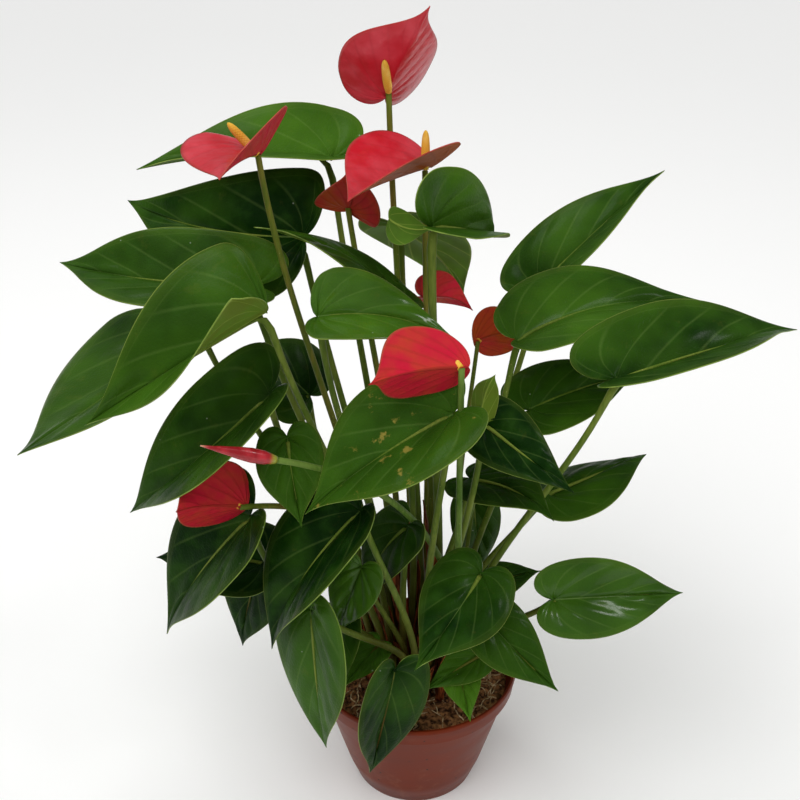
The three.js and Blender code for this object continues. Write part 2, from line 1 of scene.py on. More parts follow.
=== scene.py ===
"""A potted anthurium in bloom: satin heart-shaped leaves and red hooded blooms on long stems,
standing in dark peat in a low plastic grower pot.

Lengths in the tables are millimetres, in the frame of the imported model, and mm() turns them
into metres. +X is to the viewer's right, +Y away from the viewer, +Z up. Random draws are
seeded by the name of the piece, so that each run gives the same plant."""

import math
from functools import partial
from random import Random

import bmesh
import bpy
from mathutils import Matrix, Vector, noise


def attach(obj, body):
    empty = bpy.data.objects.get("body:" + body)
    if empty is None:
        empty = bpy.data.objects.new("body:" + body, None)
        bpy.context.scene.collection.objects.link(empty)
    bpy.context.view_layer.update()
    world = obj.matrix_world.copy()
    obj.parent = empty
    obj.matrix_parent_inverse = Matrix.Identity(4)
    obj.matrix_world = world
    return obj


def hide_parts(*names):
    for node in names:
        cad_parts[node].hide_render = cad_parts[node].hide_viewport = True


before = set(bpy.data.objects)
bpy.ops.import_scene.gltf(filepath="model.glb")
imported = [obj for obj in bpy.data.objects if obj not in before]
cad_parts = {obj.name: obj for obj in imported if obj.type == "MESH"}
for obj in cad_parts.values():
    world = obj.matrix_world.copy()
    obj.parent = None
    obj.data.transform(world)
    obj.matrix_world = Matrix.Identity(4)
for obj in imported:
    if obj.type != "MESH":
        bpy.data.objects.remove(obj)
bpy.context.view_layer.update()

# ---- Shared sizes ----

MM = 0.001
STEM_BURIED = 54  # height of every stem's lowest end
STEM_FREE = 73  # height where a stem starts to lean
FOOT_FLARE = 1.35  # a stem's thickness in the soil against its top
FOOT_SPACING = 4.6
FOOT_REACH = 0.22  # how far out a foot stands, as a share of its joint's own distance
GOLDEN_ANGLE = math.pi * (3 - math.sqrt(5))
PETIOLE_RADIUS = 1.6
STALK_RADIUS = 1.5
STEM_SIDES = 12
STEM_SPANS = 26
LOBE_SHARE = 3 / 8  # the share of a margin that goes round the lobe
HALF_WIDTH = 0.33  # from here to LOBE_DROOP: the form of a blade that is 1 long
NOTCH_SPREAD = 0.035
SHOULDER = 0.36
SHOULDER_END = 0.8
TIP_DRAW = (0.76, 0.05)
RIB_LEAN = 1.08  # how far a rib's root lies ahead of its end on the margin
RIB_EASE = 0.08
CAMBER = 0.35
LOBE_DROOP = 1.2
STEM_RISE = 0.5  # how much steeper a stem arrives than the straight way
STEM_PULL = (0.35, 0.3)  # how long it keeps its way at its foot and its end, of its reach
SEAT = 0.06  # where a stalk and a spadix meet the spathe, along its midrib

BLADE_STEPS = 64  # along a margin, from the notch to the tip
BLADE_ROWS = 10  # from the midrib to a margin
ROW_CROWDING = 0.1  # how far the rows draw together at the midrib and at the margins
LEAF_THICKNESS = 0.5
SPATHE_THICKNESS = 0.6
SHEATH_THICKNESS = 0.25
VEIN_SWEEP = 0.9  # how far a side vein bends towards the tip, in veins
KEEL_WIDTH = 0.07  # of the groove over the midrib, as a share of a half
# the side veins of one half, from the notch to the tip, and the depths of the relief
LEAF_RELIEF = dict(veins=7, pucker=0.9, keel=0.6, ripple=0.7, swell=2.2)
SPATHE_RELIEF = dict(veins=9, pucker=0.25, keel=0.2, ripple=0.4, swell=0.9)
LOBE_RELIEF = dict(veins=3, pucker=0.2, keel=0.2, ripple=0.3, swell=0.4)
BLADE_MARKS = ("tone", "back", "spots", "gloss")  # what a blade tells its materials


def mm(point):
    """A point of the tables, in metres."""
    return Vector(point) * MM


USUAL_LEAF = dict(width=1, fold=(12,), arch=0.06, lobe=0.24, belly=0.16, bend=0, bow=(0, 0, 0),
                  arrive=None, petiole=PETIOLE_RADIUS, start=None, tone=0.3, back=0.3,
                  spots=0.05, gloss=0.05)
USUAL_BLOOM = USUAL_LEAF | dict(width=1.3, fold=(10,), arch=0.04, belly=0.18, spots=0, tone=0.4,
                                stalk=STALK_RADIUS, gloss=0, green=False)


def leaf(joint, tip, face, usual=USUAL_LEAF, **given):
    """A blade's row. fold is the lift of its left and its right half, or one for both, each
    one angle or one at its base and one at its tip."""
    row = {"joint": joint, "tip": tip, "face": face, **usual, **given}
    halves = (row["fold"] * 2)[:2]
    row["fold"] = [lift if isinstance(lift, tuple) else (lift, lift) for lift in halves]
    return row


bloom = partial(leaf, usual=USUAL_BLOOM)  # its spadix is the way from its seat to its point


# ---- Where the leaves and blooms are: the joint of stem and blade, the blade's tip, and the
# way that its upper face looks. tone goes from 0, an old dark leaf, to 1, a young yellow-green
# one, and back does the same for its underside: on a bloom from red to orange-brown. spots
# says how far a leaf is blemished and gloss how far its wax mirrors the lights. ----

LEAVES = {
    "leaf_top_left": [leaf((-46, 71, 363), (-151, 76, 355), (-0.2, -0.4, 0.9), fold=(45, 20),
        belly=0.12, bow=(1, 0, 0), tone=0.68)],
    "leaf_upper_left": [leaf((-61, 46, 328), (-164, 103, 328), (-0.55, -0.9, 0.9),
        fold=((14, 15), (12, 24)), lobe=0.1, belly=0.08, bend=0.07, bow=(2, -5, 0), tone=0.12)],
    "leaf_left_pale": [leaf((-85, 10, 316), (-192, 50, 312), (-0.2, -0.45, 0.9), width=0.8,
        fold=(30,), arch=0.08, belly=0.27, bend=0.09, tone=0.42, gloss=0.175)],
    "leaf_left_folded": [leaf((-71, -47, 328), (-158, -62, 276), (-0.23, -1, 0.78), width=1.37,
        fold=((92, 28), (-9, 55)), arch=0.02, lobe=0.07, belly=0.06, bow=(2, 3, 0), tone=0.55,
        back=0.6)],
    "leaf_far_left": [leaf((-119, 39, 281), (-188, -74, 267), (-0.58, -0.4, 0.74), width=1.305,
        fold=((33, -15), (24, 8)), arch=-0.06, lobe=0.05, belly=0.08, bend=-0.12, tone=0.42,
        gloss=0.2)],
    "leaf_left_long": [leaf((-74, -34, 277), (-150, -31, 205), (-0.4, -0.4, 0.85), fold=(30,),
        belly=0.27, bend=0.09, bow=(-5, 9, 0), tone=0.25)],
    "leaf_left_behind": [leaf((-61, 48, 232), (-109, 102, 232), (-0.35, -0.5, 0.8), belly=0.18,
        bend=-0.05, bow=(-5, 0, 0), tone=0.15)],
    "leaf_left_inner": [leaf((-65, -40, 256), (-57, -70, 223), (-0.1, -0.75, 0.65), width=1.15,
        fold=(8,), belly=0.26, bow=(-3, 0, 0), tone=0.45)],
    "leaf_left_low": [leaf((-85, -49, 215), (-137, -36, 128), (-0.45, -0.5, 0.75), fold=(25,),
        bow=(-8, -11, 0), tone=0.12, gloss=0)],
    "side_shoot_left": [
        leaf((-89, 15, 140), (-105, 20, 72), (-0.5, -0.8, 0.3), tone=-0.05, gloss=0),
        leaf((-87, 0, 150), (-154, 30, 131), (-0.3, -0.5, 1), petiole=1.4, bow=(0, -1, 0),
            tone=-0.05, gloss=0)],
    "leaf_front_left": [leaf((-29, -60, 226), (-75, -73, 149), (-0.4, -0.4, 0.8), fold=(30,),
        arch=0.1, lobe=0.18, belly=0.27, start=(-4, -27), bow=(4, -3, 0), tone=-0.04)],
    "leaf_front": [leaf((16, -62, 283), (-54, -82, 239), (-0.25, -0.5, 0.8), width=1.2,
        fold=(28, 25), belly=0.27, bow=(-3, -2, 0), tone=0.48, spots=1)],
    "leaf_front_right": [leaf((32, -46, 268), (74, -73, 245), (0.15, -0.65, 0.75), belly=0.14,
        bend=-0.03, bow=(2, -5, 0), tone=-0.2)],
    "leaf_right_inner": [leaf((29, -14, 215), (68, -56, 217), (0.3, -0.55, 0.8), fold=(8,),
        belly=0.2, bend=0.06, tone=0.15)],
    "leaf_right_back": [leaf((72, 2, 195), (133, 40, 197), (-0.1, 0, 1), fold=(-8,), bend=-0.07,
        bow=(-8, 2, 0), tone=0.45)],
    "leaf_top_right": [leaf((73, 95, 279), (146, 131, 336), (-0.25, -0.15, 0.95), fold=(25, 32),
        bend=-0.05, start=(16, 22), bow=(0, 1, 0), tone=0.34, gloss=0.06)],
    "leaf_upper_right": [leaf((52, 12, 285), (160, 56, 286), (-0.15, -0.1, 1), width=0.9,
        fold=(27, 16), arch=0.03, lobe=0.12, belly=0.3, bend=0.09, bow=(0, -7, 0), tone=0.46)],
    "leaf_far_right": [leaf((99, -23, 280), (202, 25, 284), (-0.15, -0.1, 1), fold=(32,),
        belly=0.27, bend=-0.05, bow=(0, 2, 0), tone=0.24)],
    "leaf_right": [leaf((61, 15, 241), (126, 46, 245), (0, -0.4, 0.9), fold=(15,), arch=0.08,
        bow=(0, 9, 0), tone=0.42)],
    "leaf_low_right": [leaf((74, -40, 155), (148, -20, 144), (0.15, -0.75, 0.65), width=0.92,
        fold=(27, 21), belly=0.19, bow=(0, 5, 0), tone=0.58, gloss=0.35)],
    "leaf_front_low_right": [leaf((36, -50, 151), (74, -75, 122), (0.15, -0.7, 0.7), belly=0.18,
        bend=-0.03, bow=(0, 4, 0), tone=0.3)],
    "leaf_front_low": [leaf((32, -61, 188), (-2, -103, 161), (-0.2, -0.7, 0.65), width=1.15,
        fold=(6,), belly=0.24, bend=0.03, tone=0.2)],
    "leaf_right_small": [leaf((36, 2, 131), (73, 13, 134), (0.15, -0.45, 0.85), bow=(-5, 2, 0))],
    "leaf_front_centre": [leaf((-5, -34, 199), (-27, -35, 148), (-0.45, -0.4, 0.8), width=1.05,
        fold=(7, 12), belly=0.2, bend=-0.08, bow=(-2, 0, 0), tone=0.12)],
    "leaf_hanging_left": [leaf((-54, -74, 175), (-48, -84, 91), (-0.65, -0.55, 0.5), belly=0.22,
        bend=0.05, bow=(13, -2, 0), tone=0.5, gloss=0.1)],
    "side_shoot_front": [
        leaf((-42, -45, 149), (-40, -62, 111), (-0.3, -0.9, 0.5), petiole=1.3, start=(-12, -24),
            bow=(4, 0, 0), tone=0.4),
        leaf((-21, -38, 122), (-40, -58, 109), (-0.2, -0.7, 0.8), petiole=1.3, bow=(-5, 0, 0),
            tone=0.95),
        leaf((-29, -53, 186), (-41, -52, 143), (-0.2, -0.8, 0.6), petiole=1.3, bow=(0, -1, 0),
            tone=0.75, gloss=0.3)],
    "leaf_hanging_front": [leaf((-12, -63, 125), (-26, -69, 57), (0.5, -0.65, 0.55), fold=(16, 23),
        belly=0.23, bend=-0.03, bow=(-2, 2, 0), tone=0.16)],
    "side_shoot_right": [
        leaf((23, -42, 109), (29, -67, 93), (0.15, -0.85, 0.25), width=1.15, petiole=1.3,
            tone=1.2),
        leaf((35, -40, 116), (5, -55, 105), (0, -0.6, 0.8), petiole=1.3, tone=0.5),
        leaf((33, 28, 173), (38, 39, 112), (0.2, -0.9, 0.3), width=0.75, petiole=1.3,
            bow=(0, -13, 0))],
    "leaf_middle": [leaf((-48, -33, 319), (19, -34, 306), (0.54, -0.8, 1), width=1.1,
        fold=((30, -12), (40, 12)), arch=0.08, lobe=0.11, belly=0.06, bend=0.06, bow=(-4, 0, 0),
        tone=0.62, gloss=0.5)],
    "leaf_middle_back": [leaf((-11, 1, 312), (-83, 22, 343), (0.1, 0.25, 0.95), arch=0.09,
        bow=(4, 0, 0))],
    "leaf_back_dark": [leaf((-9, 50, 332), (28, 90, 272), (-0.3, -0.1, 0.95), fold=(6, 11),
        bend=-0.03, bow=(0, 2, 0), tone=0.45)],
    "leaf_top_small": [leaf((6, -10, 355.5), (41, 48, 327), (0.1, -1, 0.41), width=1.25,
        fold=((15, 18), (97, 78)), arch=0.08, lobe=0.38, belly=0.09, bend=0.02, petiole=2,
        bow=(0, 2, 0), tone=0.62, back=1)],
}
BLOOMS = {
    "bloom_top": bloom((-16, 49, 402), (5, 26, 451), (0.45, -0.8, 0.4), width=1.4, fold=(-20,),
        belly=0.28, bend=0.05, spadix=(-2, -12, 19), back=0.2),
    "bloom_left": bloom((-75, 0, 388), (-86, -62, 397), (-0.04, -0.37, 1), width=1.59,
        fold=((65, 53), (26, -16)), arch=0.03, lobe=0.16, belly=0.17, bend=-0.02,
        spadix=(-13, -2, 16), bow=(-2, 0, 0), back=0.1),
    "bloom_top_folded": bloom((7, 33, 371), (-33, -31, 376), (0.48, -0.94, 1), width=1.22,
        fold=((94, 97), (-3, -13)), arch=-0.08, lobe=0.08, belly=0.15, bend=-0.05,
        spadix=(0, 2, 20), bow=(-1, -9, 0), back=0.85),
    "bloom_back": bloom((-36, 44, 344), (-35, 24, 373), (0.36, 1, 0.08), width=1.54,
        fold=((-4, 42), (-3, -9)), arch=0.01, lobe=0.15, belly=0.06, bend=0.07, spadix=(-2, 14, 6),
        bow=(5, 0, 0), back=0.3),
    "bloom_front": bloom((22, -64, 308), (-23, -90, 313), (0, 0.9, -0.35), width=1.4,
        fold=(36, 56), lobe=0.12, belly=0.42, bend=0.04, spadix=(-9, 13, 3), bow=(0, -2, 0),
        back=0.08, green=True),
    "bloom_middle": bloom((3, 25, 303), (31, 49, 284), (0.2, 0.95, -0.1), width=1.1, fold=(37, 45),
        bend=-0.08, spadix=(5, 14, 2), bow=(2, 0, 0), back=0.15),
    "bloom_right": bloom((32, 46, 266), (61, 33, 275), (0.02, 0.99, -0.07), width=1.55,
        fold=((30, 28), (24, 32)), arch=0.13, lobe=0.06, belly=0.31, bend=-0.07, stalk=1.2,
        spadix=(4, 12, 3), bow=(-2, 10, 0), back=0.35),
    "bloom_low_left": bloom((-86, -52, 223), (-114, -86, 243), (0.03, 1, -0.68), width=1.48,
        fold=((6, 47), (71, 56)), arch=0.13, lobe=0.1, belly=0.19, bend=0.04, spadix=(-8, 10, 4),
        arrive=(-0.9, -0.3, 0.2), start=(-22, -9), bow=(-6, 8, 0), back=0.12),
}
# lobes that curl up beside a leaf's joint and show their pale underside
CURLED_LOBES = {
    "leaf_front_right_lobe": leaf((30, -47, 267), (36, -52, 298), (0.45, 0.8, 0.1), width=0.75,
        fold=(38, 25), lobe=0.05, belly=0.36, bend=-0.08, back=0.6),
    "leaf_top_small_lobe": leaf((-14, -19, 363), (7, -11, 355.5), (-0.1, 0.85, -0.5), width=1.35,
        fold=(40, 30), lobe=0.02, belly=0.3, bend=0.1, back=0.2),
}
BUD = dict(foot=(-66, -83, 270), point=(-98, -95, 285), start=(-6, -9), bow=(0, 6, 0))
BUD_RADII = (1.9, 3.3, 3.5, 2.9, 2, 1.1, 0.3)  # from its foot to its point
SPADIX_RADII = (1.5, 2.1, 2.2, 2.1, 1.8, 1)

SOIL_EDGE = 66
SOIL_CROWN = 3

# ---- Materials ----


def linear(hex_colour):
    """An sRGB colour such as '#2f5a24' as linear RGBA."""
    levels = [int(hex_colour[i:i + 2], 16) / 255 for i in (1, 3, 5)]
    return [*(v / 12.92 if v <= 0.04045 else ((v + 0.055) / 1.055) ** 2.4 for v in levels), 1]


def feed(socket, value):
    """Links a socket to another node's output, or sets it to a number, a vector or a colour."""
    if isinstance(value, bpy.types.NodeSocket):
        socket.id_data.links.new(value, socket)
    else:
        socket.default_value = linear(value) if isinstance(value, str) else value


# what a node is set to unless it is told otherwise, and a plain straight range
USUAL = {"Mix": dict(data_type="RGBA"), "MapRange": dict(interpolation_type="SMOOTHSTEP")}
EVEN = dict(interpolation_type="LINEAR")


def add_node(tree, kind, *values, out=None, inputs=None, **settings):
    """Adds a node with its settings and links, and gives its output: the one named by out, or
    else the first that is open. values go to the node's open inputs in their order, and
    inputs names others."""
    node = tree.nodes.new("ShaderNode" + kind)
    for name, value in {**USUAL.get(kind, {}), **settings}.items():
        setattr(node, name, value)
    pairs = list(zip([socket for socket in node.inputs if socket.enabled], values))
    pairs += [(node.inputs[name], value) for name, value in (inputs or {}).items()]
    for socket, value in pairs:
        feed(socket, value)
    return node.outputs[out] if out else next(s for s in node.outputs if s.enabled)


def wide(size_mm):
    """The scale at which a texture's lumps are about that wide."""
    return 1000 / size_mm


def new_material(name, ior, specular=0.5):
    """A material, what adds nodes to it, its shader, and the place of a point on the plant."""
    material = bpy.data.materials.new(name)
    material.use_nodes = True
    tree = material.node_tree
    shader = tree.nodes["Principled BSDF"]
    shader.inputs["IOR"].default_value = ior
    shader.inputs["Specular IOR Level"].default_value = specular
    add = partial(add_node, tree)
    return material, add, shader, add("TexCoord", out="Object")


def set_finish(add, shader, colour, roughness, height, deep_mm, strength, coat=(0, 0.03)):
    """Gives a shader its colour, roughness and relief, and the weight and roughness of its coat
    of wax. A negative depth turns the relief over."""
    normal = add("Bump", inputs={"Height": height, "Distance": abs(deep_mm) * MM,
                                 "Strength": strength}, invert=deep_mm < 0)
    finish = {"Base Color": colour, "Roughness": roughness, "Normal": normal,
              "Coat Weight": coat[0], "Coat Roughness": coat[1]}
    for name, value in finish.items():
        feed(shader.inputs[name], value)


def blade_places(add):
    """Of a point on a blade: its share of the way across a half, and how near it is to a side
    vein, from 0 on one to 0.5 between two. blade_sheet() writes both in the UV map."""
    run = add("UVMap", uv_map="blade")
    across = add("Math", add("SeparateXYZ", run, out="Y"), operation="ABSOLUTE")
    vein = add("SeparateXYZ", run, out="X")
    return across, add("Math", vein, 0.5, operation="PINGPONG")


def draw_veins(add, flesh, ink, rim_ink, side, midrib, rim):
    """Draws a blade's veins and its rim on its flesh, and gives the flesh and the veins. side
    is the width and strength of a side vein, midrib where the midrib fades, from and to, and
    its strength, and rim where the rim begins and its strength."""
    across, off_vein = blade_places(add)
    side = add("MapRange", off_vein, 0, *side, 0)
    midrib = add("MapRange", across, *midrib, 0)
    veins = add("Math", side, midrib, operation="MAXIMUM")
    flesh = add("Mix", veins, flesh, ink)
    rim = add("MapRange", across, rim[0], 1, 0, rim[1])
    return add("Mix", rim, flesh, rim_ink), veins


def leaf_cuticle():
    """The waxed cuticle of an anthurium leaf, grown as one smooth skin: dark green with a
    satin sheen, and a harder gloss on a few leaves. Side veins are thin and barely paler than
    the flesh, the midrib is a pale line, and an old leaf has a few yellow-brown spots."""
    material, add, shader, place = new_material("waxed leaf cuticle", 1.42, specular=0.05)
    across, off_vein = blade_places(add)
    tone, spots, gloss = (add("Attribute", out="Fac", attribute_name=mark)
                          for mark in ("tone", "spots", "gloss"))
    drift = add("TexNoise", place, wide(34), 2)
    age = add("Math", drift, 1.4, tone, operation="MULTIPLY_ADD")
    flesh = add("Mix", add("MapRange", age, 0.63, 1.85, **EVEN), "#0b2405", "#446c18")
    clouds = add("TexNoise", place, wide(8), 4)
    flesh = add("Mix", add("MapRange", clouds, 0.4, 0.8, 0, 0.3), flesh, "#2c5214")
    # yellowing between the veins near the margin
    yellow = add("MapRange", across, 0.8, 1.0, 0, 0.12)
    flesh = add("Mix", yellow, flesh, "#63762a")
    side = add("MapRange", off_vein, 0, 0.08, 0.1, 0)
    side = add("Math", side, add("MapRange", across, 0.7, 0.95, 1, 0.1, **EVEN),
               operation="MULTIPLY")
    rim_vein = add("Math", add("Math", across, 0.88, operation="SUBTRACT"), operation="ABSOLUTE")
    rim_vein = add("MapRange", rim_vein, 0, 0.014, 0.05, 0)
    midrib = add("MapRange", across, 0.008, 0.03, 0.26, 0)
    veins = add("Math", side, rim_vein, operation="MAXIMUM")
    veins = add("Math", veins, midrib, operation="MAXIMUM")
    flesh = add("Mix", veins, flesh, "#7f9c50")
    edge = add("MapRange", across, 0.985, 1, 0, 0.6)
    flesh = add("Mix", edge, flesh, "#8f9e4c")
    # blemishes a few millimetres wide
    blotch = add("TexNoise", place, wide(11), 5, 0.65)
    blotch = add("MapRange", blotch, 0.6, 0.68, 0, 0.8)
    blotch = add("Math", blotch, spots, operation="MULTIPLY")
    flesh = add("Mix", blotch, flesh, "#8a7d36")
    # dust: specks of 0.3 mm, drawn twice as coarse as the real ones so that a few of them show
    speck = add("TexVoronoi", place, wide(15))
    speck = add("MapRange", speck, 0.02, 0.036, 0.4, 0, **EVEN)
    flesh = add("Mix", speck, flesh, "#b9c2b0")
    satin = add("TexNoise", place, wide(13), 3)
    satin = add("MapRange", satin, 0.3, 0.8, 0.27, 0.45, **EVEN)
    # the finest net of veins shows only as relief
    net = add("TexVoronoi", place, wide(2.4), feature="DISTANCE_TO_EDGE")
    net = add("MapRange", net, 0, 0.12, 0.3, 0)
    height = add("Math", net, add("Math", veins, 3.0, operation="MULTIPLY"), operation="ADD")
    height = add("Math", clouds, 0.7, height, operation="MULTIPLY_ADD")
    set_finish(add, shader, flesh, satin, height, -0.25, 0.9, coat=(gloss, 0.17))
    return material


def leaf_underside():
    """The lower skin of a leaf, which has no wax: matt, paler and yellower, with the veins
    standing on it."""
    material, add, shader, place = new_material("matt leaf underside", 1.4, specular=0.1)
    back = add("Attribute", out="Fac", attribute_name="back")
    drift = add("TexNoise", place, wide(16), 3)
    flesh = add("Mix", back, "#3f6420", "#6a7420")
    flesh = add("Mix", add("MapRange", drift, 0.35, 0.75, 0, 0.7), flesh, "#587f22")
    flesh, veins = draw_veins(add, flesh, "#86983f", "#93a055",
                              side=(0.07, 0.45), midrib=(0.015, 0.06, 0.8), rim=(0.95, 0.6))
    grain = add("TexNoise", place, wide(0.8), 3)
    height = add("Math", grain, 0.2, veins, operation="MULTIPLY_ADD")
    set_finish(add, shader, flesh, 0.6, height, 0.3, 0.7)
    return material


def blade_margin(name, pale, dark):
    """The cartilage-like rim of a blade: hard, smooth and a thin pale line all round."""
    material, add, shader, place = new_material(name, 1.45, specular=0.3)
    shade = add("TexNoise", place, wide(8), 3)
    flesh = add("Mix", add("MapRange", shade, 0.35, 0.65, **EVEN), pale, dark)
    grain = add("TexNoise", place, wide(1.2), 2)
    set_finish(add, shader, flesh, 0.45, grain, 0.05, 0.5)
    return material


def stem_skin(name, fresh, ripe, foot, foot_height):
    """Smooth fibrous stem skin: olive with fine lengthwise streaks and a few pale pores,
    turning red-brown towards the soil."""
    material, add, shader, place = new_material(name, 1.4, specular=0.15)
    stretched = add("Mapping", inputs={"Vector": place, "Scale": (1, 1, 0.12)})
    streaks = add("TexNoise", stretched, wide(1.5), 3)
    region = add("TexNoise", place, wide(38), 2)
    shade = add("Math", streaks, 0.5, region, operation="MULTIPLY_ADD")
    flesh = add("Mix", add("MapRange", shade, 0.6, 0.95), fresh, ripe)
    pores = add("TexVoronoi", place, wide(3.5))
    pores = add("MapRange", pores, 0.06, 0.12, 0.4, 0, **EVEN)
    flesh = add("Mix", pores, flesh, "#a9a06a")
    height = add("SeparateXYZ", place, out="Z")
    uneven = add("Math", region, 0.1, height, operation="MULTIPLY_ADD")
    low = add("MapRange", uneven, foot_height[0] * MM, foot_height[1] * MM, 0.9, 0)
    flesh = add("Mix", low, flesh, foot)
    set_finish(add, shader, flesh, 0.45, streaks, 0.15, 0.6)
    return material


def spathe_wax():
    """The waxed face of an anthurium spathe, which looks lacquered: rose red, puckered between
    its veins, with small sharp glints on the puckers."""
    material, add, shader, place = new_material("waxed red spathe", 1.5, specular=0.25)
    drift = add("TexNoise", place, wide(15), 3)
    flesh = add("Mix", add("MapRange", drift, 0.3, 0.72), "#b81826", "#c83a46")
    # the darker red drawn in the sunk vein creases is painted shade
    flesh, veins = draw_veins(add, flesh, "#86101a", "#8e3427",
                              side=(0.16, 0.12), midrib=(0.01, 0.08, 0.15), rim=(0.93, 0.45))
    net = add("TexVoronoi", place, wide(3.4), feature="SMOOTH_F1")
    height = add("Math", net, 0.8, veins, operation="MULTIPLY_ADD")
    set_finish(add, shader, flesh, 0.36, height, -0.45, 0.8, coat=(0.26, 0.14))
    return material


def spathe_back():
    """The back of a spathe: duller, with an orange-brown cast where the green of the bract
    shows through the red."""
    material, add, shader, place = new_material("dull spathe back", 1.3, specular=0.15)
    back = add("Attribute", out="Fac", attribute_name="back")
    drift = add("TexNoise", place, wide(13), 3)
    cast = add("Math", drift, 0.9, back, operation="MULTIPLY_ADD")
    flesh = add("Mix", add("MapRange", cast, 0.35, 1.2), "#ba1a32", "#a8500f")
    flesh, veins = draw_veins(add, flesh, "#6e2a14", "#7d5a35",
                              side=(0.2, 0.2), midrib=(0.015, 0.06, 0.5), rim=(0.94, 0.5))
    net = add("TexVoronoi", place, wide(3.4), feature="SMOOTH_F1")
    height = add("Math", net, 0.5, veins, operation="MULTIPLY_ADD")
    set_finish(add, shader, flesh, 0.55, height, 0.7, 0.9)
    return material


def spadix_florets():
    """Tight-packed spadix florets, matt yellow: painted shade in dimples, painted light on tops.
    """
    material, add, shader, place = new_material("yellow spadix florets", 1.4, specular=0.3)
    top = add("Attribute", out="Fac", attribute_name="floret")
    # painted shade: deep yellow in the dimples between florets; painted light: pale yellow on
    # their tops
    flesh = add("Mix", add("MapRange", top, 0.1, 0.8, **EVEN), "#c07a14", "#f0c64c")
    pollen = add("TexNoise", place, wide(5), 3)
    flesh = add("Mix", add("MapRange", pollen, 0.45, 0.75, 0, 0.5), flesh, "#f2d67a")
    grain = add("TexNoise", place, wide(0.5), 2)
    set_finish(add, shader, flesh, 0.6, grain, 0.08, 0.7)
    return material


def bud_wax(foot, point):
    """The rolled spathe of a bud: waxed and glossy red, yellow-green at its foot and pale at
    its point."""
    material, add, shader, place = new_material("waxed bud", 1.5, specular=0.25)
    reach = point - foot
    rise = add("VectorMath", place, reach, operation="DOT_PRODUCT")
    share = add("MapRange", rise, foot.dot(reach), point.dot(reach), **EVEN)
    shade = add("TexNoise", place, wide(5), 3)
    flesh = add("Mix", add("MapRange", shade, 0.35, 0.7), "#8c0e18", "#b02630")
    flesh = add("Mix", add("MapRange", share, 0.03, 0.13, 1, 0), flesh, "#8f9434")
    flesh = add("Mix", add("MapRange", share, 0.9, 1.0), flesh, "#c08a6e")
    set_finish(add, shader, flesh, 0.32, shade, 0.9, 0.8, coat=(0.4, 0.15))
    return material


def pot_polypropylene():
    """Thin polypropylene, injection moulded in terracotta brown: satin, with shallow flow
    marks round it, and scuffs, pale dust and specks of peat on its lower wall."""
    material, add, shader, place = new_material("moulded polypropylene", 1.49, specular=0.1)
    height = add("SeparateXYZ", place, out="Z")
    flow = add("Mapping", inputs={"Vector": place, "Scale": (1, 1, 5)})
    flow = add("TexNoise", flow, wide(45), 2)
    plastic = add("Mix", add("MapRange", flow, 0.3, 0.7, **EVEN), "#5f2008", "#6c2811")
    scuffs = add("TexNoise", place, wide(9), 5, 0.62)
    scuffs = add("MapRange", scuffs, 0.52, 0.7, 0, 1)
    low = add("MapRange", height, 0.015, 0.06, 0.28, 0.06, **EVEN)
    plastic = add("Mix", add("Math", scuffs, low, operation="MULTIPLY"), plastic, "#8a5840")
    specks = add("TexVoronoi", place, wide(5))
    specks = add("MapRange", specks, 0.1, 0.17, 1, 0, **EVEN)
    where = add("TexNoise", place, wide(24), 2)
    where = add("MapRange", where, 0.5, 0.6, 0, 1)
    plastic = add("Mix", add("Math", specks, where, operation="MULTIPLY"), plastic, "#1c100b")
    satin = add("MapRange", flow, 0.3, 0.7, 0.3, 0.42, **EVEN)
    grain = add("TexNoise", place, wide(0.7), 2)
    relief = add("Math", grain, 0.3, scuffs, operation="MULTIPLY_ADD")
    set_finish(add, shader, plastic, satin, relief, 0.05, 0.5)
    return material


def plant_litter(name, dark, light, size_mm, rough=0.95, stretch=1):
    """Dead plant matter, matt and fibrous: damp peat, a loose crumb of it, a root or a dried
    sheath. Its fibres are drawn as wide as they need to be to show."""
    material, add, shader, place = new_material(name, 1.4, specular=0.25)
    along = add("Mapping", inputs={"Vector": place, "Scale": (1, 1, stretch)})
    fibres = add("TexNoise", along, wide(size_mm), 6)
    flesh = add("Mix", add("MapRange", fibres, 0.35, 0.68), dark, light)
    set_finish(add, shader, flesh, rough, fibres, 1.0, 0.8)
    return material


def studio_floor():
    """A painted floor with no gloss, a little lighter in some places than in others."""
    material, add, shader, place = new_material("pale matt floor", 1.45, specular=0)
    shade = add("TexNoise", place, wide(900), 2)
    colour = add("Mix", shade, "#fbfbfa", "#fdfdfc")
    set_finish(add, shader, colour, 0.95, shade, 0.01, 0.1)
    return material


# ---- Making pieces ----


def new_object(name, bm, materials=()):
    """Turns the bmesh into an object of the scene."""
    mesh = bpy.data.meshes.new(name)
    bm.to_mesh(mesh)
    bm.free()
    for material in materials:
        mesh.materials.append(material)
    made = bpy.data.objects.new(name, mesh)
    bpy.context.scene.collection.objects.link(made)
    return made


def make_piece(name, bm, materials, replaced=(), smooth=True):
    """Turns the bmesh into a named piece on the plant."""
    for face in bm.faces:
        face.smooth = smooth
    made = new_object(name, bm, materials)
    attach(made, "root")
    if replaced:
        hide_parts(*replaced)
    return made


def polar(radius, turn):
    """The place on the ground at that turn round the middle, in the tables' millimetres."""
    return Vector((radius * math.cos(turn), radius * math.sin(turn)))


def bezier(points, t):
    """A point of the cubic curve through the four points."""
    a, b, c, d = points
    s = 1 - t
    return a * s**3 + b * (3 * s * s * t) + c * (3 * s * t * t) + d * t**3


def blade_frame(blade):
    """The blade's length and its directions: along the midrib, to the left and upwards."""
    along = mm(blade["tip"]) - mm(blade["joint"])
    length = along.length
    along.normalize()
    upper = Vector(blade["face"])
    upper = (upper - along * upper.dot(along)).normalized()
    return length, along, upper.cross(along), upper


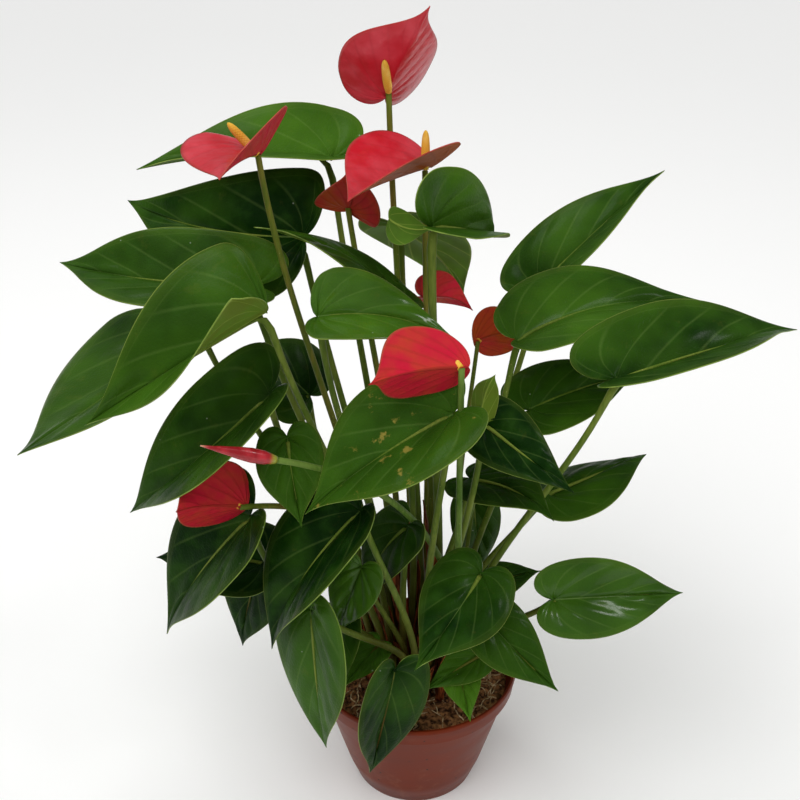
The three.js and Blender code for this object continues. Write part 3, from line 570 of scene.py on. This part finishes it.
def half_outline(blade):
    """The two curves of a half blade's margin: round the lobe, then along the flank."""
    half = HALF_WIDTH * blade["width"]
    shoulder = min(blade["belly"] + SHOULDER, SHOULDER_END)
    lobe, widest = -blade["lobe"], (blade["belly"], half)
    around = [(0, 0), (lobe, NOTCH_SPREAD), (lobe, half), widest]
    flank = [widest, (shoulder, half), TIP_DRAW, (1, 0)]
    return [[Vector(point) for point in curve] for curve in (around, flank)]


def blade_point(blade, step, across):
    """A point of a blade. step goes from 0 at the notch to 1 at the tip, and across from -1 at
    the right margin over the midrib to 1 at the left one."""
    around, flank = half_outline(blade)
    if step < LOBE_SHARE:
        margin = bezier(around, step / LOBE_SHARE)
    else:
        margin = bezier(flank, (step - LOBE_SHARE) / (1 - LOBE_SHARE))
    length, along, left, upper = blade_frame(blade)
    reach = max(margin.x - margin.y, 0)
    root = RIB_LEAN * reach * reach / (reach + RIB_EASE)
    out = abs(across)
    x = root + (margin.x - root) * out
    y = margin.y * out
    base, end = blade["fold"][0 if across > 0 else 1]
    angle = math.radians(base + (end - base) * max(x, 0))
    rise = 4 * x * (1 - x) if x > 0 else LOBE_DROOP * x
    lift = y * math.sin(angle) - CAMBER * y * y + blade["arch"] * rise
    side = math.copysign(y * math.cos(angle), across) + blade["bend"] * rise
    return mm(blade["joint"]) + length * (along * x + left * side + upper * lift)


def spread(share):
    """Sets rows closer at the midrib and at the margins."""
    out = abs(share)
    return math.copysign(out - ROW_CROWDING * math.sin(2 * math.pi * out), share)


def blade_sheet(blade, seed, veins, pucker, keel, ripple, swell):
    """The blade's sheet as a bmesh: puckered between its veins, with a sunk midrib, a gently
    rippled margin and shallow swells, all in millimetres. The UV map holds the count of veins
    and the way across, and the attributes hold the blade's marks."""
    bm = bmesh.new()
    bmesh.ops.create_grid(bm, x_segments=BLADE_STEPS, y_segments=2 * BLADE_ROWS, size=1)
    places = bm.loops.layers.uv.new("blade")
    marks = {mark: bm.verts.layers.float.new(mark) for mark in BLADE_MARKS}
    _, _, _, upper = blade_frame(blade)
    draw = Random(seed)
    turns, phase, start = draw.uniform(7, 11), draw.uniform(0, 6), draw.uniform(0.2, 0.6)
    where = {}
    for vertex in bm.verts:
        step, across = (vertex.co.x + 1) / 2, spread(vertex.co.y)
        where[vertex] = (step, across)
        for mark, layer in marks.items():
            vertex[layer] = blade[mark]
    for face in bm.faces:
        for loop in face.loops:
            step, across = where[loop.vert]
            loop[places].uv = (start + veins * step - VEIN_SWEEP * abs(across), across)
    for vertex, (step, across) in where.items():
        out = abs(across)
        calm = math.sin(math.pi * min(1, max(0, step)))  # nothing moves the notch and the tip
        off_vein = abs((start + veins * step - VEIN_SWEEP * out + 0.5) % 1 - 0.5)
        lift = pucker * math.sin(math.pi * off_vein) * min(1, 4 * out) * (1 - out**6)
        lift -= keel * math.exp(-((across / KEEL_WIDTH) ** 2))
        lift += ripple * math.sin(turns * step + phase + across) * out**3
        lift += swell * noise.noise(Vector((3 * step + phase, 2.2 * across, phase))) * (1 - out**4)
        vertex.co = blade_point(blade, step, across) + upper * (lift * min(1, 2 * calm) * MM)
    bmesh.ops.remove_doubles(bm, verts=bm.verts, dist=1e-6)
    bm.normal_update()
    if sum(face.normal.dot(upper) * face.calc_area() for face in bm.faces) < 0:
        bmesh.ops.reverse_faces(bm, faces=bm.faces)
    return bm


def thicken(made, thickness):
    """Gives a sheet its thickness: upper skin, lower skin and rim take slots 0, 1 and 2."""
    wall = made.modifiers.new("thickness", "SOLIDIFY")
    wall.thickness = thickness * MM
    wall.offset = 0
    wall.material_offset = 1
    wall.material_offset_rim = 2


def make_blade(name, blade, seed, relief, skins, thickness, replaced=()):
    """A leaf's or a bloom's sheet as a piece."""
    made = make_piece(name, blade_sheet(blade, seed, **relief), skins, replaced)
    thicken(made, thickness)


def bar(points, radii, sides, bm=None):
    """A closed round bar through the points, drawn out ring by ring from a circle."""
    bm = bm or bmesh.new()
    old_faces = set(bm.faces)
    last = len(points) - 1
    across = Vector((1, 0, 0))
    before, edge, ring = None, [], []
    for i, point in enumerate(points):
        along = (points[min(i + 1, last)] - points[max(i - 1, 0)]).normalized()
        across = (across - along * across.dot(along)).normalized()
        turn = Matrix((across, along.cross(across), along)).transposed().to_4x4()
        place = Matrix.Translation(point) @ turn @ Matrix.Scale(radii[i], 4)
        if before is None:
            ring = bmesh.ops.create_circle(bm, segments=sides, radius=1, cap_ends=True)["verts"]
            edge = [e for e in bm.edges if e.verts[0] in ring and e.verts[1] in ring]
            bmesh.ops.transform(bm, matrix=place, verts=ring)
        else:
            grown = bmesh.ops.extrude_edge_only(bm, edges=edge)["geom"]
            ring = [g for g in grown if isinstance(g, bmesh.types.BMVert)]
            edge = [g for g in grown if isinstance(g, bmesh.types.BMEdge)]
            bmesh.ops.transform(bm, matrix=place @ before.inverted(), verts=ring)
        before = place
    bmesh.ops.edgeloop_fill(bm, edges=edge)
    bmesh.ops.recalc_face_normals(bm, faces=[f for f in bm.faces if f not in old_faces])
    return bm


def between(values, share):
    """The value at a share of the way through a list of numbers or points."""
    place = min(max(share, 0), 1) * (len(values) - 1)
    low = min(int(place), len(values) - 2)
    return values[low] + (values[low + 1] - values[low]) * (place - low)


def take_foot(free, joint, start):
    """The free place in the soil that is nearest to the one that a stem wants."""
    wanted = Vector(start) if start else Vector(joint[:2]) * FOOT_REACH
    best = min(free, key=lambda place: (place - wanted).length)
    free.remove(best)
    return best


def stem_line(foot, end, bow, arrive):
    """From the soil straight up, then leaning out in one curve to the end."""
    low = mm((foot.x, foot.y, STEM_BURIED))
    free = mm((foot.x, foot.y, STEM_FREE))
    reach = (end - free).length
    arrival = Vector(arrive) if arrive else end - free + Vector((0, 0, STEM_RISE * reach))
    arrival.normalize()
    curve = (free, free + Vector((0, 0, STEM_PULL[0] * reach)),
             end - arrival * (STEM_PULL[1] * reach), end)
    line = [bezier(curve, i / STEM_SPANS) + mm(bow) * math.sin(math.pi * i / STEM_SPANS)
            for i in range(STEM_SPANS + 1)]
    return [low, *line]


def stem_radii(line, radius):
    """A stem's radii along its line, thicker towards its foot."""
    return [radius * (FOOT_FLARE + (1 - FOOT_FLARE) * min(i / STEM_SPANS, 1))
            for i in range(len(line))]


def off_axis(place, axis):
    """Of a place seen from a point of the axis: how far it lies along the axis, its way out
    from it, and its turn round it."""
    side = axis.orthogonal().normalized()
    up = place.dot(axis)
    out = place - axis * up
    return up, out, math.atan2(out.dot(axis.cross(side)), out.dot(side))


def eased(line, turns):
    """Rounds the corners of a line, leaving its ends."""
    for _ in range(turns):
        line = line[:1] + [(a + 2 * b + c) / 4 for a, b, c in
                           zip(line, line[1:], line[2:])] + line[-1:]
    return line


# ---- Leaves, blooms and bud ----

LEAF_SKINS = [leaf_cuticle(), leaf_underside(),
              blade_margin("pale leaf margin", "#7f9440", "#55701f")]
SPATHE_SKINS = [spathe_wax(), spathe_back(),
                blade_margin("dull spathe margin", "#a03228", "#b34a40")]
PETIOLE_SKIN = stem_skin("olive petiole skin", "#4c621c", "#6c7a30", "#4a260c", (100, 235))
STALK_SKIN = stem_skin("brown-olive stalk skin", "#55661f", "#78702c", "#4e260e", (100, 240))
GREEN_STALK_SKIN = stem_skin("green stalk skin", "#44621e", "#647c36", "#44280e", (100, 240))
FLORETS = spadix_florets()
FLORET_ROUND, FLORET_ROWS = 12, 17  # florets round a spadix and up it, each about 1 mm wide
FLORET_HEIGHT = 0.22
FLORET_LEVEL = 0.6  # the part of a floret that neither rises nor sinks
SPADIX_START = 0.02  # where it leaves its seat, as a share of its way
SPADIX_END = 0.88  # where its point starts to close
KNEE_SWELL = (1.1, 1.22, 1.12)  # a petiole's last rings, from the blade down
MIDRIB_RINGS = 14
MIDRIB_STEP = 0.05  # between two rings, as a share of the blade's length
MIDRIB_START = 0.62  # its thickness at the joint against the petiole's
MIDRIB_POINT = 0.12
MIDRIB_SUNK = 0.55  # how deep it hangs below the blade, in its own radii
BUD_RINGS, BUD_SIDES = 36, 40
SEAM_DEPTH = 0.16  # of the bud's radius
SEAM_FADE = 14
SEAM_WINDING = 0.7  # turns from the bud's foot to its point


def petiole(blade, line):
    """A leaf's stem: with a swollen knee below the blade, and running on as the raised midrib
    on the blade's underside."""
    length, along, left, upper = blade_frame(blade)
    joint = mm(blade["joint"])
    radius = blade["petiole"]
    radii = stem_radii(line, radius)
    for back, swell in enumerate(KNEE_SWELL, 1):
        radii[-back] *= swell
    line = list(line)
    for i in range(1, MIDRIB_RINGS + 1):
        x = MIDRIB_STEP * i
        thin = radius * MIDRIB_START * (1 - i / (MIDRIB_RINGS + 1)) + MIDRIB_POINT
        rise = 4 * x * (1 - x)
        line.append(joint + length * (along * x + left * (blade["bend"] * rise)
                                      + upper * (blade["arch"] * rise))
                    - upper * (MIDRIB_SUNK * thin * MM))
        radii.append(thin)
    return bar(eased(line, 2), [r * MM for r in radii], STEM_SIDES)


def spadix(seat, reach):
    """A spadix with its florets: a blunt cone, dimpled in slanting rows."""
    rings, sides = 4 * FLORET_ROWS, 4 * FLORET_ROUND
    shares = [i / rings for i in range(rings + 1)]
    radii = []
    for share in shares:
        radius = between(SPADIX_RADII, share)
        if share > SPADIX_END:
            closed = (share - SPADIX_END) / (1 - SPADIX_END)
            radius *= math.sqrt(max(0.02, 1 - closed ** 2))
        radii.append(radius * MM)
    bm = bar([seat + reach * (SPADIX_START + (1 - SPADIX_START) * share) for share in shares],
             radii, sides)
    floret = bm.verts.layers.float.new("floret")
    for vertex in bm.verts:
        up, out, turn = off_axis(vertex.co - seat, reach.normalized())
        row = FLORET_ROWS * up / reach.length
        slant = 0.5 * FLORET_ROUND * turn / math.pi
        top = abs(math.cos(math.pi * (row + slant)) * math.cos(math.pi * (row - slant))) ** 0.6
        # its material paints this top paler as painted light, and the dimples deeper as painted
        # shade
        vertex[floret] = top
        if out.length > 0.4 * MM:  # the very point stays in place
            vertex.co += out.normalized() * ((top - FLORET_LEVEL) * FLORET_HEIGHT * MM)
    return bm


stems = []  # each stem's line and radius, for the sheaths round their feet


def make_stalk(name, line, radius, skin):
    """The stem of a bloom or the bud."""
    stems.append((line, radius))
    radii = [r * MM for r in stem_radii(line, radius)]
    make_piece(name + "_stem", bar(line, radii, STEM_SIDES), [skin], [name + "_stalk"])


free_feet = [polar(FOOT_SPACING * math.sqrt(k + 0.5), k * GOLDEN_ANGLE)
             for k in range(len(LEAVES) + len(BLOOMS) + 1)]
for name, blades in LEAVES.items():
    foot = take_foot(free_feet, blades[0]["joint"], blades[0]["start"])
    for count, blade in enumerate(blades, 1):
        part = f"{name}_{count}" if len(blades) > 1 else name
        make_blade(part + "_blade", blade, part, LEAF_RELIEF, LEAF_SKINS, LEAF_THICKNESS,
                   [name])
        line = stem_line(foot, mm(blade["joint"]), blade["bow"], blade["arrive"])
        make_piece(part + "_petiole", petiole(blade, line), [PETIOLE_SKIN], [name])
        stems.append((line, blade["petiole"]))

for name, lobe in CURLED_LOBES.items():
    make_blade(name, lobe, "curled lobe", LOBE_RELIEF, LEAF_SKINS, LEAF_THICKNESS)

for name, flower in BLOOMS.items():
    foot = take_foot(free_feet, flower["joint"], flower["start"])
    make_blade(name + "_sheet", flower, name, SPATHE_RELIEF, SPATHE_SKINS, SPATHE_THICKNESS,
               [name + "_spathe"])
    length, along, _, upper = blade_frame(flower)
    seat = mm(flower["joint"]) + along * (SEAT * length)
    seat += upper * (4 * flower["arch"] * SEAT * length)
    line = stem_line(foot, seat - upper * (SPATHE_THICKNESS / 2 * MM), flower["bow"],
                     flower["arrive"])
    make_stalk(name, line, flower["stalk"], GREEN_STALK_SKIN if flower["green"] else STALK_SKIN)
    make_piece(name + "_spike", spadix(seat, mm(flower["spadix"])), [FLORETS],
               [name + "_spadix"])

foot = take_foot(free_feet, BUD["foot"], BUD["start"])
bud_foot, bud_point = mm(BUD["foot"]), mm(BUD["point"])
bud_reach = bud_point - bud_foot
make_stalk("bud", stem_line(foot, bud_foot, BUD["bow"], bud_reach), STALK_RADIUS,
           GREEN_STALK_SKIN)
shares = [i / BUD_RINGS for i in range(BUD_RINGS + 1)]
bud = bar([between([bud_foot, bud_point], share) for share in shares],
          [between(BUD_RADII, share) * MM for share in shares], BUD_SIDES)
for vertex in bud.verts:  # the free edge of the roll winds round it as a seam
    up, out, turn = off_axis(vertex.co - bud_foot, bud_reach.normalized())
    wound = (turn / math.tau + SEAM_WINDING * up / bud_reach.length) % 1
    vertex.co -= out * (SEAM_DEPTH * math.exp(-SEAM_FADE * wound))
make_piece("bud_rolled", bud, [bud_wax(bud_foot, bud_point)], ["bud_spathe"])

# ---- Pot ----

POT_PROFILE = [(0, 0), (35.7, 0), (36.5, 0.5), (41.4, 14), (42, 16), (55.9, 66.6), (56.1, 67),
               (58.4, 67.1), (58.7, 67.8), (59.4, 75), (60, 75.6), (60, 77), (59.4, 78),
               (58.2, 78), (57.8, 77.2), (57, 69), (54.5, 67), (40.4, 16), (34.9, 2), (0, 2)]
POT_SIDES = 120
DRAIN_HOLES = 6
DRAIN_RADIUS = 4
DRAIN_RING = 27  # the radius on which the holes lie


def turned(profile, sides):
    """A closed body spun from its profile of radii and heights, in millimetres."""
    bm = bmesh.new()
    points = [bm.verts.new(mm((radius, 0, height))) for radius, height in profile]
    edges = [bm.edges.new(pair) for pair in zip(points, points[1:])]
    bmesh.ops.spin(bm, geom=points + edges, cent=(0, 0, 0), axis=(0, 0, 1),
                   angle=2 * math.pi, steps=sides, use_merge=True)
    bmesh.ops.remove_doubles(bm, verts=bm.verts, dist=1e-6)
    bmesh.ops.recalc_face_normals(bm, faces=bm.faces)
    return bm


def cut_holes(made, holes):
    """Cuts the closed bodies of a bmesh out of a piece and leaves no modifier on it."""
    cutter = new_object("cutter", holes)
    cut = made.modifiers.new("holes", "BOOLEAN")
    cut.object, cut.operation, cut.solver = cutter, "DIFFERENCE", "EXACT"
    graph = bpy.context.evaluated_depsgraph_get()
    whole, made.data = made.data, bpy.data.meshes.new_from_object(made.evaluated_get(graph))
    made.modifiers.clear()
    tool = cutter.data
    bpy.data.objects.remove(cutter)
    bpy.data.meshes.remove(tool)
    bpy.data.meshes.remove(whole)


pot = make_piece("pot_shell", turned(POT_PROFILE, POT_SIDES), [pot_polypropylene()],
                 ["pot"])
drains = bmesh.new()
for i in range(DRAIN_HOLES):
    place = mm((*polar(DRAIN_RING, math.tau * i / DRAIN_HOLES), 1))
    bmesh.ops.create_cone(drains, cap_ends=True, segments=28, radius1=DRAIN_RADIUS * MM,
                          radius2=DRAIN_RADIUS * MM, depth=4 * MM,
                          matrix=Matrix.Translation(place))
cut_holes(pot, drains)
pot.data.set_sharp_from_angle(angle=math.radians(50))

# ---- Soil ----

PEAT = plant_litter("damp peat", "#362013", "#a8764c", 3.2)
CRUMB = plant_litter("peat crumb", "#2c1b10", "#946846", 2.0)
ROOT = plant_litter("dry root fibre", "#8a6a44", "#dcc49c", 2.5, rough=0.8)
SHEATH = plant_litter("dried papery sheath", "#461c0a", "#a0542c", 1.6, rough=0.7, stretch=0.1)

WALL_RADIUS = 54.2
SOIL_FOOT = [(38.5, 16), (32.5, 2.4), (0, 2.4)]
SOIL_RINGS, SOIL_SIDES = 44, 170
LUMP_SIZE, LUMP_HEIGHT = 5, 1.3
CRUMBS = 900
CRUMB_REACH = 0.985  # how near to the wall crumbs lie
CRUMB_FLAT = 0.75
ROOTS = 120
ROOT_STEP = 1.4
ROOT_LIFT, ROOT_WAVE = 1.3, 1.0  # a root's height above the soil, and its ups and downs


def soil_top(ring):
    """The height of the soil at that distance from its middle."""
    return SOIL_EDGE + SOIL_CROWN * (1 - min(ring / WALL_RADIUS, 1))


rings = [WALL_RADIUS * i / SOIL_RINGS for i in range(SOIL_RINGS + 1)]
soil = turned([(ring, soil_top(ring)) for ring in rings] + SOIL_FOOT, SOIL_SIDES)
for vertex in soil.verts:
    if vertex.co.z > (SOIL_EDGE - 0.5) * MM:
        lumps = noise.fractal(vertex.co / (LUMP_SIZE * MM), 0.8, 2.1, 5)
        vertex.co.z += lumps * LUMP_HEIGHT * MM
make_piece("peat_bed", soil, [PEAT], ["potting_soil"])

draw = Random("crumbs")
crumbs = bmesh.new()
for _ in range(CRUMBS):
    ring = WALL_RADIUS * math.sqrt(draw.random()) * CRUMB_REACH
    turn = draw.uniform(0, 2 * math.pi)
    size = draw.uniform(0.4, 1.0) + 0.9 * draw.random() ** 4
    place = mm((*polar(ring, turn), soil_top(ring) + 0.4 * size))
    lump = bmesh.ops.create_icosphere(crumbs, subdivisions=1, radius=size * MM)["verts"]
    for vertex in lump:
        vertex.co *= draw.uniform(0.65, 1.15)
        vertex.co.z *= CRUMB_FLAT
    bmesh.ops.translate(crumbs, verts=lump, vec=place)
make_piece("peat_crumbs", crumbs, [CRUMB], smooth=False)

roots = bmesh.new()
for _ in range(ROOTS):
    ring = WALL_RADIUS * math.sqrt(draw.uniform(0.1, 0.95))
    turn = draw.uniform(0, 2 * math.pi)
    heading = draw.uniform(0, 2 * math.pi)
    place = polar(ring, turn)
    line = []
    for step in range(draw.randint(8, 20)):
        if place.length < WALL_RADIUS - 1.5:
            wave = ROOT_WAVE * math.sin(0.7 * step + turn)
            line.append(mm((*place, soil_top(place.length) + ROOT_LIFT + wave)))
        heading += draw.uniform(-0.5, 0.5)
        place += polar(1, heading) * ROOT_STEP
    if len(line) > 3:
        bar(line, [draw.uniform(0.2, 0.45) * MM] * len(line), 5, bm=roots)
make_piece("root_strands", roots, [ROOT])

# ---- Dried sheaths round the feet of the stems ----

SHEATH_BURIED = 5
SHEATH_WRAP = 2.3  # how far its edges reach round the stem at its foot, in radians
SHEATH_TWIST = 0.5
SHEATH_ROOM = 0.35  # between it and the stem at its foot
SHEATH_OPEN = 1.8  # how far its point stands off
SHEATH_RIPPLE = 0.25
sheaths = bmesh.new()
draw = Random("sheaths")
for line, radius in stems:
    turn, tall = draw.uniform(0, math.tau), draw.uniform(0.16, 0.36)
    strip = bmesh.ops.create_grid(sheaths, x_segments=12, y_segments=8, size=1)["verts"]
    for vertex in strip:
        up, way = (vertex.co.x + 1) / 2, vertex.co.y
        centre = between(line[1:], up * tall) - mm((0, 0, SHEATH_BURIED * (1 - up)))
        angle = turn + SHEATH_WRAP * way * max(1 - up, 0) ** 0.55 + SHEATH_TWIST * up
        away = radius * (FOOT_FLARE + 0.25) + SHEATH_ROOM + SHEATH_OPEN * up**3
        away += SHEATH_RIPPLE * math.sin(9 * up + 5 * way)
        vertex.co = centre + mm((*polar(away, angle), 0))
bmesh.ops.remove_doubles(sheaths, verts=sheaths.verts, dist=1e-6)
bmesh.ops.recalc_face_normals(sheaths, faces=sheaths.faces)
made = make_piece("stem_sheaths", sheaths, [SHEATH])
thicken(made, SHEATH_THICKNESS)

# ---- Floor, light and camera ----

FLOOR_REACH = 6
ground = bmesh.new()
bmesh.ops.create_grid(ground, x_segments=1, y_segments=1, size=FLOOR_REACH)
floor = new_object("floor", ground, [studio_floor()])

WORLD_STRENGTH = 0.22
scene = bpy.context.scene
scene.view_settings.view_transform = "Standard"
world = bpy.data.worlds.new("soft studio")
world.use_nodes = True
background = world.node_tree.nodes["Background"]
background.inputs["Color"].default_value = linear("#ffffff")
background.inputs["Strength"].default_value = WORLD_STRENGTH
scene.world = world


def hang(light, place, aim, mirrored=True):
    """Hangs a light and turns it to what it lights. A light that isn't mirrored is polarised:
    it puts no grey veil on wax."""
    lamp = bpy.data.objects.new(light.name, light)
    lamp.location = place
    lamp.rotation_euler = (Vector(aim) - Vector(place)).to_track_quat("-Z", "Y").to_euler()
    lamp.visible_glossy = mirrored
    scene.collection.objects.link(lamp)


def wide_light(name, way, spread_degrees, strength):
    """A large far softbox: it lights the whole floor alike, and its shadows are soft."""
    light = bpy.data.lights.new(name, "SUN")
    light.angle = math.radians(spread_degrees)
    light.energy = strength
    hang(light, way, (0, 0, 0), mirrored=False)


def softbox(name, place, aim, size, power):
    """A near softbox that the wax mirrors."""
    light = bpy.data.lights.new(name, "AREA")
    light.shape = "RECTANGLE"
    light.size, light.size_y = size
    light.energy = power
    hang(light, place, aim)


wide_light("key", (-0.35, -0.45, 0.82), 55, 1.9)
wide_light("fill", (0.55, -0.7, 0.45), 65, 0.8)
softbox("sheen", (-0.45, 0.3, 1.3), (-0.1, 0, 0.3), (0.6, 0.6), 4)
softbox("glint", (0.75, -0.1, 1.15), (0, 0, 0.3), (0.2, 0.2), 2)

CAMERA_PLACE = (-0.009, -0.565, 0.571)
CAMERA_PITCH = 60.8  # degrees from straight down
CAMERA_LENS = 55.5
CAMERA_SENSOR = 36
CAMERA_CLIP = (0.05, 50)
camera = bpy.data.objects.new("camera", bpy.data.cameras.new("camera"))
camera.data.lens = CAMERA_LENS
camera.data.sensor_width = CAMERA_SENSOR
camera.location = CAMERA_PLACE
camera.rotation_euler = (math.radians(CAMERA_PITCH), 0, 0)
camera.data.clip_start, camera.data.clip_end = CAMERA_CLIP
scene.collection.objects.link(camera)
scene.camera = camera
